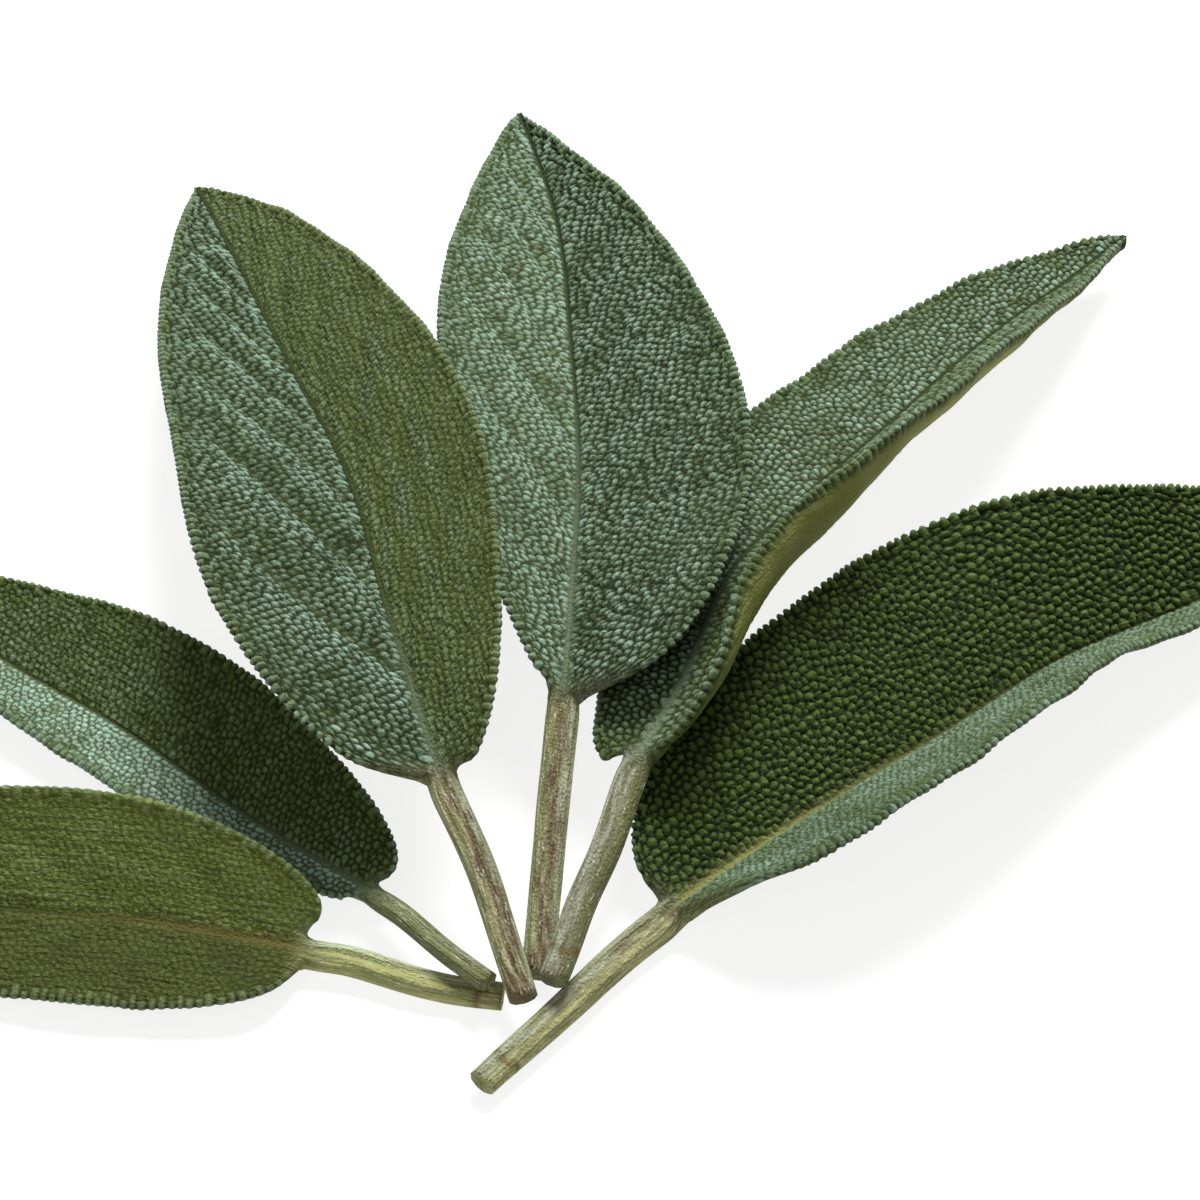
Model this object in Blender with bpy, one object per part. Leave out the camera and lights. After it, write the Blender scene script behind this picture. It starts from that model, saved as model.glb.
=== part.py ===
"""A bunch of six fresh sage leaves lying on a flat surface, stalks together.

Each leaf grew as one piece, a stalk that runs on as the midrib of a folded blade,
so each leaf is one closed solid. They lie in a fan: the lowest leaves rest on the
surface and the others lie over them. Metres, +Z up, the surface at Z = 0.
"""

import bmesh
import bpy
import numpy as np

MM = 0.001

# Where the stalks meet, seen from the middle of the bunch's footprint.
FAN_CENTRE = (-0.0014, -0.0442, 0.0)

# The blade is thick and soft, thinner at its edge, with the midrib as a keel below it.
BLADE_THICKNESS = 0.85 * MM
EDGE_THINNING = 0.4
KEEL_DEPTH_AT_TIP = 0.15 * MM
KEEL_WIDTH_AT_TIP = 0.5 * MM
MIDRIB_TAPER = 1.2
STALK_HEIGHT_TO_WIDTH = 0.84

# A shallow groove runs along the top of the stalk. Its depth is a share of the stalk's
# height and its half width a share of the stalk's width.
GROOVE_DEPTH = 0.12
GROOVE_WIDTH = 0.25

# The stalk's points start this share of half a turn above its widest line.
STALK_FIRST_POINT = 0.04

# Over this length, either side of the blade's foot, the stalk's section turns into
# the blade's section.
FOOT_BLEND = 1.0 * MM

# The blade's foot can bulge back past the end of the stalk. The bulge dies out up the
# blade as (1 - t)**FOOT_POWER.
FOOT_POWER = 8

STALK_STATIONS = 8
BLADE_STATIONS = 26
CROWDING_AT_BLADE_ENDS = 0.11
BLADE_STARTS_BEFORE_FOOT = 0.4 * MM
BLADE_STOPS_BEFORE_TIP = 0.3 * MM

# Places across one half of the blade, from the midrib (0) to the edge (1).
ACROSS_ABOVE = (0.16, 0.42, 0.72, 1.0)
ACROSS_BELOW = (1.0, 0.72, 0.42)

# The blade's underside meets the keel a little below the blade's own thickness, and
# follows the blade's climb there between these two slopes.
KEEL_SHOULDER = 1.1 * BLADE_THICKNESS
FLATTEST_SHOULDER = -0.3
STEEPEST_SHOULDER = 0.7

ROUGHNESS = 0.75
STRAIGHT_ENOUGH = 1e-4
HALF_STEP = 0.05 * MM

# One entry for each leaf. Lengths and places are in millimetres from the point where
# the stalks meet. "line" runs along the top of the stalk and midrib, from the cut end
# to the tip, and "foot" is the point of it where the blade starts. Pairs give the half
# on the left and the half on the right, looking from the stalk to the tip. A half
# blade's outline is t**a * (1 - t)**b, with (a, b) in "outline". "rise" and
# "edge_rise" are how steeply each half climbs at the midrib and at its edge, in
# degrees, at even steps from foot to tip.
LEAVES = {
    "leaf_left_low": {
        "line": [(-1.2, 0.8, 1.8), (-5.6, 1.6, 1.9), (-8.4, 2.5, 2.0), (-12.2, 3.9, 2.1),
                 (-14.9, 4.3, 2.2), (-21.2, 5.5, 2.4), (-27.3, 6.7, 2.4), (-39.0, 7.9, 2.3),
                 (-50.0, 9.0, 2.0), (-61.5, 9.0, 1.5)],
        "foot": 4,
        "stalk_width": (2.1, 2.3),
        "half_width": (7.6, 8.8),
        "outline": ((0.43, 0.95), (0.61, 0.93)),
        "foot_bulge": (0.0, 2.4),
        "rise": ((0, -2, -3, -3, 0), (30, 33, 32, 24, 16)),
        "edge_rise": ((-2, -4, -5, -3, 0), (34, 38, 36, 26, 16)),
        "colour": (0.115, 0.155, 0.045),
    },
    "leaf_left_folded": {
        "line": [(-2.2, 0.6, 3.4), (-5.6, 3.9, 3.3), (-8.4, 7.0, 3.2), (-10.6, 9.1, 2.8),
                 (-17.0, 14.4, 2.2), (-22.8, 19.6, 2.0), (-28.5, 24.9, 1.9),
                 (-36.8, 31.3, 1.8), (-44.5, 37.3, 1.8), (-51.5, 42.1, 1.8)],
        "foot": 3,
        "stalk_width": (1.6, 1.7),
        "half_width": (5.0, 8.6),
        "outline": ((0.80, 0.83), (0.67, 0.92)),
        "foot_bulge": (2.0, 2.6),
        "rise": ((-4, 2, 8, 12, 15), (24, 24, 22, 20, 15)),
        "edge_rise": ((-4, 2, 8, 12, 15), (24, 24, 22, 20, 15)),
        "colour": (0.075, 0.115, 0.055),
    },
    "leaf_left_broad": {
        "line": [(0.3, -0.9, 3.4), (-1.1, 3.6, 4.5), (-3.0, 9.3, 6.5), (-5.6, 15.0, 8.4),
                 (-7.7, 21.9, 9.2), (-10.5, 33.3, 9.0), (-12.9, 44.2, 8.2),
                 (-17.5, 57.7, 6.4), (-23.8, 76.5, 3.2), (-27.4, 87.0, 1.1)],
        "foot": 3,
        "stalk_width": (2.0, 2.3),
        "half_width": (14.2, 10.7),
        "outline": ((0.4, 0.94), (0.6, 0.74)),
        "foot_bulge": (0.4, 1.8),
        "rise": ((25, 22, 22, 20, 15), (25, 25, 26, 22, 13)),
        "edge_rise": ((25, 22, 22, 20, 15), (25, 25, 26, 22, 13)),
        "colour": (0.105, 0.155, 0.075),
    },
    "leaf_centre": {
        "line": [(1.1, 2.5, 2.1), (1.6, 8.4, 3.3), (2.2, 15.9, 5.6), (2.9, 23.5, 7.5),
                 (3.5, 35.1, 7.5), (3.9, 47.7, 6.6), (3.2, 64.6, 4.8), (2.0, 80.9, 2.8),
                 (-1.2, 96.5, 1.1)],
        "foot": 3,
        "stalk_width": (2.2, 2.4),
        "half_width": (10.9, 13.7),
        "outline": ((0.85, 0.89), (0.38, 1.02)),
        "foot_bulge": (1.5, 0.8),
        "rise": ((27, 26, 20, 20, 15), (28, 22, 22, 20, 16)),
        "edge_rise": ((27, 26, 20, 20, 15), (28, 22, 22, 20, 16)),
        "colour": (0.125, 0.185, 0.105),
    },
    "leaf_right_curled": {
        "line": [(2.2, 0.3, 4.0), (3.3, 3.6, 4.5), (4.3, 6.8, 5.1), (5.6, 9.9, 5.9),
                 (8.1, 17.8, 7.1), (10.9, 23.4, 8.1), (14.9, 35.2, 8.0), (19.3, 42.4, 7.4),
                 (27.0, 52.6, 6.4), (35.7, 64.5, 5.0), (43.5, 73.6, 3.8), (47.5, 78.3, 3.4)],
        "foot": 4,
        "stalk_width": (2.1, 2.3),
        "half_width": (9.7, 10.2),
        "outline": ((0.6, 0.71), (0.75, 1.12)),
        "foot_bulge": (3.0, 0.8),
        "rise": ((-18, -16, -7, -8, -2), (5, 6, 0, 33, 24, 24, 24)),
        "edge_rise": ((-18, -16, -7, -8, -2), (66, 127, 115, 73, 75, 58, 55)),
        "colour": (0.125, 0.185, 0.125),
    },
    "leaf_right_low": {
        "line": [(-2.5, -7.2, 2.2), (-0.6, -4.9, 2.2), (3.5, 0.0, 2.2), (7.0, 4.3, 2.2),
                 (10.5, 7.9, 2.3), (17.6, 14.5, 2.1), (25.4, 21.0, 2.0), (32.0, 26.4, 1.9),
                 (39.1, 32.4, 1.8), (51.0, 39.4, 1.7), (57.5, 44.4, 1.6), (64.0, 49.2, 1.6)],
        "foot": 4,
        "stalk_width": (2.1, 2.7),
        "half_width": (14.2, 12.3),
        "outline": ((0.58, 0.82), (0.38, 1.15)),
        "foot_bulge": (1.4, -2.4),
        "rise": ((16, 20, 24, 26, 22), (40, 44, 46, 38, 30)),
        "edge_rise": ((16, 20, 24, 26, 22), (40, 44, 46, 38, 30)),
        "colour": (0.055, 0.085, 0.035),
    },
}


def smooth_curve(points):
    """The natural cubic curve through points, as a function of length along it."""
    points = np.array(points, dtype=float)
    steps = np.linalg.norm(np.diff(points, axis=0), axis=1)
    knots = np.concatenate(([0.0], np.cumsum(steps)))
    count = len(points)
    system = np.eye(count)
    right_side = np.zeros_like(points)
    for i in range(1, count - 1):
        system[i, i - 1:i + 2] = steps[i - 1], 2 * (steps[i - 1] + steps[i]), steps[i]
        slope_after = (points[i + 1] - points[i]) / steps[i]
        slope_before = (points[i] - points[i - 1]) / steps[i - 1]
        right_side[i] = 6 * (slope_after - slope_before)
    bend = np.linalg.solve(system, right_side)

    def at(length):
        i = int(np.clip(np.searchsorted(knots, length) - 1, 0, count - 2))
        step, before, after = steps[i], length - knots[i], knots[i + 1] - length
        return (
            (bend[i] * after**3 + bend[i + 1] * before**3) / (6 * step)
            + (points[i] / step - bend[i] * step / 6) * after
            + (points[i + 1] / step - bend[i + 1] * step / 6) * before
        )

    return at, knots


def blend_weight(value, start, end):
    """0 before start, 1 after end, smooth between."""
    u = min(max((value - start) / (end - start), 0.0), 1.0)
    return u * u * (3 - 2 * u)


def swell(t, rise, fall):
    """t**rise * (1 - t)**fall, scaled to a greatest value of 1."""
    peak = rise / (rise + fall)
    return t**rise * (1 - t)**fall / (peak**rise * (1 - peak)**fall)


class Leaf:
    """The shape of one leaf, as sections across its stalk and midrib."""

    def __init__(self, measures):
        self.measures = measures
        self.line, knots = smooth_curve(np.array(measures["line"]) * MM)
        self.foot = knots[measures["foot"]]
        self.length = knots[-1]
        self.blade = self.length - self.foot

    def half_width(self, side, t):
        rise, fall = self.measures["outline"][side]
        return self.measures["half_width"][side] * MM * swell(t, rise, fall)

    def swept_back(self, side, t, q):
        """How far the blade's foot is swept back at q, from the midrib's side outwards."""
        rise, _ = self.measures["outline"][side]
        bulge = self.measures["foot_bulge"][side] * MM * swell(t, rise, FOOT_POWER)
        core = self.measures["stalk_width"][1] * MM / 2
        width = self.half_width(side, t)
        return bulge * max(0.0, width * q - core) / max(width - core, core)

    def slope(self, name, side, t):
        angles = np.radians(self.measures[name][side])
        return np.interp(t, np.linspace(0, 1, len(angles)), angles)

    def across(self, side, t, q):
        """Distance out and up from the midrib, and the slope there, at q of the half."""
        width = self.half_width(side, t)
        start = self.slope("rise", side, t)
        bend = self.slope("edge_rise", side, t) - start
        if abs(bend) < STRAIGHT_ENOUGH:
            bend = STRAIGHT_ENOUGH
        angle = start + bend * q
        out = (np.sin(angle) - np.sin(start)) / bend * width
        up = (np.cos(start) - np.cos(angle)) / bend * width
        return out, up, angle

    def frame(self, length):
        """The midrib's place, and the unit vectors along it, to its right and up."""
        along = self.line(length + HALF_STEP) - self.line(length - HALF_STEP)
        along /= np.linalg.norm(along)
        right = np.cross(along, (0, 0, 1))
        right /= np.linalg.norm(right)
        return self.line(length), along, right, np.cross(right, along)

    def core_size(self, length):
        """Width and height of the stalk, and of the midrib that goes on from it."""
        cut_width, foot_width = np.array(self.measures["stalk_width"]) * MM
        if length <= self.foot:
            width = np.interp(length, (0, self.foot), (cut_width, foot_width))
            return width, width * STALK_HEIGHT_TO_WIDTH
        t = (length - self.foot) / self.blade
        width = KEEL_WIDTH_AT_TIP + (foot_width - KEEL_WIDTH_AT_TIP) * (1 - t)**MIDRIB_TAPER
        foot_height = foot_width * STALK_HEIGHT_TO_WIDTH
        tip_height = BLADE_THICKNESS + KEEL_DEPTH_AT_TIP
        return width, tip_height + (foot_height - tip_height) * (1 - t)

    def stalk_section(self, length):
        """Points round the stalk: over its grooved top, then back round below."""
        width, height = self.core_size(length)
        above = len(ACROSS_ABOVE) * 2 + 1
        below = len(ACROSS_BELOW) * 2 + 4
        angles = np.concatenate((
            np.linspace(STALK_FIRST_POINT, 1 - STALK_FIRST_POINT, above) * np.pi,
            np.linspace(1 + STALK_FIRST_POINT, 2 - STALK_FIRST_POINT, below) * np.pi,
        ))
        out = np.cos(angles) * width / 2
        groove = GROOVE_DEPTH * height * np.exp(-(out / (GROOVE_WIDTH * width))**2)
        groove[above:] = 0
        up = (np.sin(angles) - 1) * height / 2 - groove
        return [(o, u, 0.0) for o, u in zip(out, up)]

    def blade_section(self, length):
        """Points round the blade: over it from right to left, then back below."""
        t = min(max((length - self.foot) / self.blade, 0.0), 1.0)
        width, height = self.core_size(length)
        halves = []
        for side, sign in ((1, 1), (0, -1)):
            above = []
            for q in ACROSS_ABOVE:
                out, up, _ = self.across(side, t, q)
                above.append((sign * out, up, -self.swept_back(side, t, q)))
            below = []
            for q in ACROSS_BELOW:
                out, up, angle = self.across(side, t, q)
                thick = BLADE_THICKNESS * (1 - EDGE_THINNING * q * q)
                below.append((
                    sign * (out + thick * np.sin(angle)),
                    up - thick * np.cos(angle),
                    -self.swept_back(side, t, q),
                ))
            slope = np.clip(self.slope("rise", side, t), FLATTEST_SHOULDER, STEEPEST_SHOULDER)
            keel_side = width / 2
            below.append((sign * keel_side, keel_side * np.tan(slope) - KEEL_SHOULDER, 0.0))
            below.append((sign * width / 4, -height, 0.0))
            halves.append((above, below))
        (right_above, right_below), (left_above, left_below) = halves
        return (
            right_above[::-1] + [(0.0, 0.0, 0.0)] + left_above
            + left_below + right_below[::-1]
        )

    def section(self, length):
        """The closed section at this length, as points in the bunch's own frame."""
        share = blend_weight(length, self.foot - FOOT_BLEND, self.foot + FOOT_BLEND)
        stalk = np.array(self.stalk_section(length))
        blade = np.array(self.blade_section(length))
        out, up, forward = ((1 - share) * stalk + share * blade).T
        place, along, right, over = self.frame(length)
        return (
            place + out[:, None] * right + up[:, None] * over
            + forward[:, None] * along + np.array(FAN_CENTRE)
        )

    def stations(self):
        """Lengths of the sections: even on the stalk, closer at the blade's two ends."""
        stalk = np.linspace(0, self.foot - FOOT_BLEND, STALK_STATIONS)
        u = np.linspace(0, 1, BLADE_STATIONS)
        t = u - CROWDING_AT_BLADE_ENDS * np.sin(2 * np.pi * u)
        foot = self.foot - BLADE_STARTS_BEFORE_FOOT
        tip = self.length - BLADE_STOPS_BEFORE_TIP
        return np.concatenate((stalk, foot + (tip - foot) * t))


def grow(leaf):
    """The leaf's mesh: a closed ring at the cut end, pulled on from section to section."""
    bm = bmesh.new()
    stations = leaf.stations()
    first = leaf.section(stations[0])
    ring = bmesh.ops.create_circle(bm, cap_ends=True, radius=1, segments=len(first))
    for vert, place in zip(ring["verts"], first):
        vert.co = place
    end = bm.faces[:][0]
    cut_end = end.edges[:]
    order = [ring["verts"].index(vert) for vert in end.verts]
    for length in stations[1:]:
        places = leaf.section(length)
        end = bmesh.ops.extrude_discrete_faces(bm, faces=[end])["faces"][0]
        for vert, index in zip(end.verts, order):
            vert.co = places[index]
    bmesh.ops.holes_fill(bm, edges=cut_end, sides=0)
    bmesh.ops.triangulate(bm, faces=bm.faces[:])
    bmesh.ops.recalc_face_normals(bm, faces=bm.faces[:])
    return bm


def leaf_material(name, colour):
    material = bpy.data.materials.new(name)
    material.use_nodes = True
    surface = material.node_tree.nodes["Principled BSDF"]
    surface.inputs["Base Color"].default_value = (*colour, 1.0)
    surface.inputs["Roughness"].default_value = ROUGHNESS
    surface.inputs["Metallic"].default_value = 0.0
    return material


def add_leaf(name, measures):
    bm = grow(Leaf(measures))
    mesh = bpy.data.meshes.new(name)
    bm.to_mesh(mesh)
    bm.free()
    mesh.shade_smooth()
    mesh.materials.append(leaf_material(name, measures["colour"]))
    piece = bpy.data.objects.new(name, mesh)
    bpy.context.scene.collection.objects.link(piece)


for old in list(bpy.data.objects):
    bpy.data.objects.remove(old)

for leaf_name, leaf_measures in LEAVES.items():
    add_leaf(leaf_name, leaf_measures)
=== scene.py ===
"""A bunch of six fresh sage leaves, lying in a fan with their cut stalks together.

The leaves are worked out in millimetres from the point where the stalks meet, and are
turned to metres in the bunch's own frame as the last step of each mesh.
"""

import math

import bmesh
import bpy
import numpy as np
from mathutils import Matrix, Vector
from mathutils.kdtree import KDTree


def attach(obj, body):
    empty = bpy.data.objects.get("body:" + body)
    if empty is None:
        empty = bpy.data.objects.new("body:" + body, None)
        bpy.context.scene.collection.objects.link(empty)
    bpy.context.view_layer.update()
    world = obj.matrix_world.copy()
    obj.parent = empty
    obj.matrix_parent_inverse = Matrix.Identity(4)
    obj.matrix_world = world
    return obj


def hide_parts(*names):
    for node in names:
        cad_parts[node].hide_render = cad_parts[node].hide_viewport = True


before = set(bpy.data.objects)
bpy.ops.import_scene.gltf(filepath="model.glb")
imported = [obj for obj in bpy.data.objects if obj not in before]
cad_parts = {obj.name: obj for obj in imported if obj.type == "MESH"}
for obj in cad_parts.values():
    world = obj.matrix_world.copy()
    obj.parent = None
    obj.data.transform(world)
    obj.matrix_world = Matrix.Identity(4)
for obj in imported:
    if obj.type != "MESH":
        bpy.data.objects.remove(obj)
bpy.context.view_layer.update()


# ---- The broad leaf ------------------------------------------------------------------
# The biggest leaf, left of the middle and on top of the fan. Sage leaves are soft and
# thick, their upper side quilted between the side veins and pebbled all over, with a
# fine grey down. The stalk is grooved above and runs on as the midrib.

MM = 0.001
STALKS_MEET_AT = np.array((-1.4, -44.2, 0.0))

BLADE_THICKNESS = 0.85
EDGE_THICKNESS = 0.51
KEEL_DEPTH_AT_TIP = 0.15
KEEL_WIDTH_AT_TIP = 0.5
KEEL_TAPER = 1.2
KEEL_REACH = 0.6
LEAST_HALF_TO_MIDRIB = 0.45
RIM_TO_NARROW_HALF = 0.42
STALK_HEIGHT_TO_WIDTH = 0.84
GROOVE_DEPTH = 0.17
GROOVE_WIDTH = 0.22
FOOT_BLEND = 1.6
FOOT_POWER = 8
TIP_ROUNDING = 0.6
STRAIGHT_ENOUGH = 1e-3

# The mesh is finer above, where the pebbles are, than below.
STEP_ALONG = 0.160
STEP_ABOVE = 0.171
STEP_BELOW = 0.9
STEP_ALONG_STALK = 0.4
RIM_POINTS = 5
ROWS_BY_EDGE_BELOW = (1.0, 0.976, 0.952, 0.928)
LEAST_ROWS_BELOW = 19
CROWDING_BELOW = 1.25
CUT_RINGS = 7
CUT_RING_SCALES = (0.06, 0.97)
TIP_RINGS = 9
TIP_CLOSED_AT = 0.998

# Turns past this, above or below, are on the flat of the blade and not on its rim. The
# rim takes up this much of a turn on the stalk's sides.
FLAT_TURN = 1.5
RIM_ON_STALK = 0.12

# Pebbles lie in rough rows that lean forwards and outwards from the midrib.
PEBBLE_LEAN = math.radians(66)
PEBBLE_JITTER = 0.37
PEBBLE_ROUND = 0.90
MIDRIB_CLEARANCE = 0.22
EDGE_CLEARANCE = 0.2
BEAD_TONES = 400

# Side veins leave the midrib this far apart. They lean forwards more and more towards
# the tip, and bend forwards a little as they go out.
SIDE_VEIN_PITCH = 9.0
SIDE_VEIN_LEAN = 0.5
SIDE_VEIN_LEAN_GAIN = 0.055
SIDE_VEIN_BEND = 0.02


def midrib_curve(points):
    """The natural cubic curve through points, and its length at each of them."""
    points = np.array(points, dtype=float)
    steps = np.linalg.norm(np.diff(points, axis=0), axis=1)
    knots = np.concatenate(([0.0], np.cumsum(steps)))
    count = len(points)
    system = np.eye(count)
    right_side = np.zeros_like(points)
    for i in range(1, count - 1):
        system[i, i - 1:i + 2] = steps[i - 1], 2 * (steps[i - 1] + steps[i]), steps[i]
        slope_after = (points[i + 1] - points[i]) / steps[i]
        slope_before = (points[i] - points[i - 1]) / steps[i - 1]
        right_side[i] = 6 * (slope_after - slope_before)
    bend = np.linalg.solve(system, right_side)

    def at(length):
        i = np.clip(np.searchsorted(knots, length) - 1, 0, count - 2)
        step = steps[i][:, None]
        before = (length - knots[i])[:, None]
        after = (knots[i + 1] - length)[:, None]
        return (
            (bend[i] * after**3 + bend[i + 1] * before**3) / (6 * step)
            + (points[i] / step - bend[i] * step / 6) * after
            + (points[i + 1] / step - bend[i + 1] * step / 6) * before
        )

    return at, knots


def smooth_step(value, start, end):
    """0 before start, 1 after end, smooth between."""
    u = np.clip((value - start) / (end - start), 0.0, 1.0)
    return u * u * (3 - 2 * u)


def swell(t, rise, fall):
    """t**rise * (1 - t)**fall, scaled to a greatest value of 1."""
    t = np.clip(t, 0.0, 1.0)
    peak = rise / (rise + fall)
    return t**rise * (1 - t)**fall / (peak**rise * (1 - peak)**fall)


def by_half(pair, right_half):
    """The left or the right one of a pair, for each point."""
    return np.where(right_half, pair[1], pair[0])


class Leaf:
    """One leaf's outline and folds. Lengths are in millimetres along the midrib."""

    def __init__(self, measures):
        self.measures = measures
        self.line, knots = midrib_curve(measures["line"])
        self.foot = knots[measures["foot"]]
        self.length = knots[-1]
        self.blade = self.length - self.foot

    def along_blade(self, length):
        return np.clip((length - self.foot) / self.blade, 0.0, 1.0)

    def midrib_width(self, length):
        cut_width, foot_width = self.measures["stalk_width"]
        stalk = np.interp(length, (0, self.foot), (cut_width, foot_width))
        t = self.along_blade(length)
        rib = KEEL_WIDTH_AT_TIP + (foot_width - KEEL_WIDTH_AT_TIP) * (1 - t)**KEEL_TAPER
        return np.where(length <= self.foot, stalk, rib)

    def midrib_height(self, length):
        foot_height = self.measures["stalk_width"][1] * STALK_HEIGHT_TO_WIDTH
        tip_height = BLADE_THICKNESS + KEEL_DEPTH_AT_TIP
        t = self.along_blade(length)
        rib = tip_height + (foot_height - tip_height) * (1 - t)
        stalk = self.midrib_width(length) * STALK_HEIGHT_TO_WIDTH
        return np.where(length <= self.foot, stalk, rib)

    def half_width(self, length, right_half):
        """Width of one half, never less than the midrib that it grows from."""
        t = self.along_blade(length)
        outlines = self.measures["outline"]
        halves = [
            width * swell(t, *outline)
            for width, outline in zip(self.measures["half_width"], outlines)
        ]
        least = LEAST_HALF_TO_MIDRIB * self.midrib_width(length)
        return np.hypot(by_half(halves, right_half), least)

    def swept_back(self, length, right_half, out):
        """How far the blade's foot is swept back, this far out from the midrib."""
        t = self.along_blade(length)
        bulges = [
            bulge * swell(t, outline[0], FOOT_POWER)
            for bulge, outline in zip(self.measures["foot_bulge"], self.measures["outline"])
        ]
        core = self.measures["stalk_width"][1] / 2
        width = self.half_width(length, right_half)
        share = np.maximum(0.0, out - core) / np.maximum(width - core, core)
        return by_half(bulges, right_half) * share

    def slope(self, name, length, right_half):
        t = self.along_blade(length)
        halves = [
            np.interp(t, np.linspace(0, 1, len(angles)), np.radians(angles))
            for angles in self.measures[name]
        ]
        return by_half(halves, right_half)

    def side_vein(self, out, forward, right_half):
        """Whole numbers on the side veins, and halves midway between them."""
        ahead = forward - self.foot - SIDE_VEIN_LEAN * out - SIDE_VEIN_BEND * out**2
        start = ahead / (1 + SIDE_VEIN_LEAN_GAIN * out)
        return start / SIDE_VEIN_PITCH + 0.5 * right_half


def lay_out_rings(leaf):
    """Where each row of points is along the leaf, with the rows that close its ends."""
    cut = np.zeros(CUT_RINGS)
    cut_scale = np.linspace(*CUT_RING_SCALES, CUT_RINGS)
    stalk_end = leaf.foot - FOOT_BLEND
    stalk = np.linspace(0, stalk_end, round(stalk_end / STEP_ALONG_STALK))
    blade_end = leaf.length - TIP_ROUNDING
    blade = np.linspace(stalk_end, blade_end, round((blade_end - stalk_end) / STEP_ALONG))
    round_tip = np.sin(np.linspace(0.15, 1.0, TIP_RINGS) * math.pi / 2)
    tip = blade_end + TIP_ROUNDING * round_tip * TIP_CLOSED_AT
    lengths = np.concatenate((cut, stalk, blade[1:], tip))
    scales = np.ones(len(lengths))
    scales[:CUT_RINGS] = cut_scale
    return lengths, scales


def lay_out_section(leaf):
    """Points round a section: above from left to right, round the rim, back below.

    For each: the side it is on (-1 left, 1 right), its share of the way to the rim, and
    the angle round the rim, from a quarter turn above to a quarter turn below."""
    widest = sum(leaf.measures["half_width"])
    above = np.linspace(-1, 1, round(widest / STEP_ABOVE))
    by_edge = np.array(ROWS_BY_EDGE_BELOW)
    rows = max(LEAST_ROWS_BELOW, round(widest / STEP_BELOW) - 2 * len(by_edge))
    below = np.linspace(0.9, -0.9, rows)
    below = np.concatenate((by_edge, below, -by_edge[::-1]))
    rim = np.linspace(math.pi / 2, -math.pi / 2, RIM_POINTS + 2)[1:-1]
    side = np.concatenate((
        np.sign(above), np.ones(RIM_POINTS), np.sign(below), -np.ones(RIM_POINTS)
    ))
    side[side == 0] = 1
    share = np.concatenate((
        np.abs(above), np.ones(RIM_POINTS), np.abs(below)**CROWDING_BELOW, np.ones(RIM_POINTS)
    ))
    turn = np.concatenate((
        np.full(len(above), math.pi / 2), rim, np.full(len(below), -math.pi / 2), rim[::-1]
    ))
    return side, share, turn


def blade_points(leaf, length, right_half, share, turn):
    """Out from the midrib, up from it, and the distance over the surface to it."""
    width = leaf.half_width(length, right_half)
    rim = np.minimum(EDGE_THICKNESS / 2, RIM_TO_NARROW_HALF * width)
    near_tip = np.clip((length - leaf.length + TIP_ROUNDING) / TIP_ROUNDING, 0, 1)
    closing = np.sqrt(1 - near_tip**2)
    over_surface = share * (width - rim) + rim * np.cos(turn)
    start = leaf.slope("rise", length, right_half)
    bend = leaf.slope("edge_rise", length, right_half) - start
    bend = np.where(np.abs(bend) < STRAIGHT_ENOUGH, STRAIGHT_ENOUGH, bend)
    angle = start + bend * over_surface / width
    out = (np.sin(angle) - np.sin(start)) / bend * width
    up = (np.cos(start) - np.cos(angle)) / bend * width
    below = turn < -FLAT_TURN
    at_rim = rim * (1 - np.sin(turn))
    thickness = BLADE_THICKNESS + (2 * rim - BLADE_THICKNESS) * share**2
    depth = np.where(below, thickness, at_rim) * closing
    out = out + depth * np.sin(angle)
    up = up - depth * np.cos(angle)
    keel = np.clip(1 - (over_surface / (KEEL_REACH * leaf.midrib_width(length)))**2, 0, 1)
    keel_depth = (leaf.midrib_height(length) - BLADE_THICKNESS) * closing
    up = up - np.where(below, keel_depth * np.sqrt(keel), 0.0)
    return out, up, over_surface, width


def stalk_points(leaf, length, side, share, turn):
    """Out and up from the middle of the stalk's top, at the same points."""
    width = leaf.midrib_width(length)
    height = width * STALK_HEIGHT_TO_WIDTH
    at_rim = side * (math.pi / 2 - RIM_ON_STALK * turn / (math.pi / 2))
    flat = side * share * (math.pi / 2 - RIM_ON_STALK)
    from_top = np.select(
        [turn > FLAT_TURN, turn < -FLAT_TURN], [flat, side * math.pi - flat], at_rim
    )
    out = np.sin(from_top) * width / 2
    up = (np.cos(from_top) - 1) * height / 2
    groove = np.exp(-(out / (GROOVE_WIDTH * width))**2) * (np.cos(from_top) > 0)
    return out, up - GROOVE_DEPTH * height * groove, from_top


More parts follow.
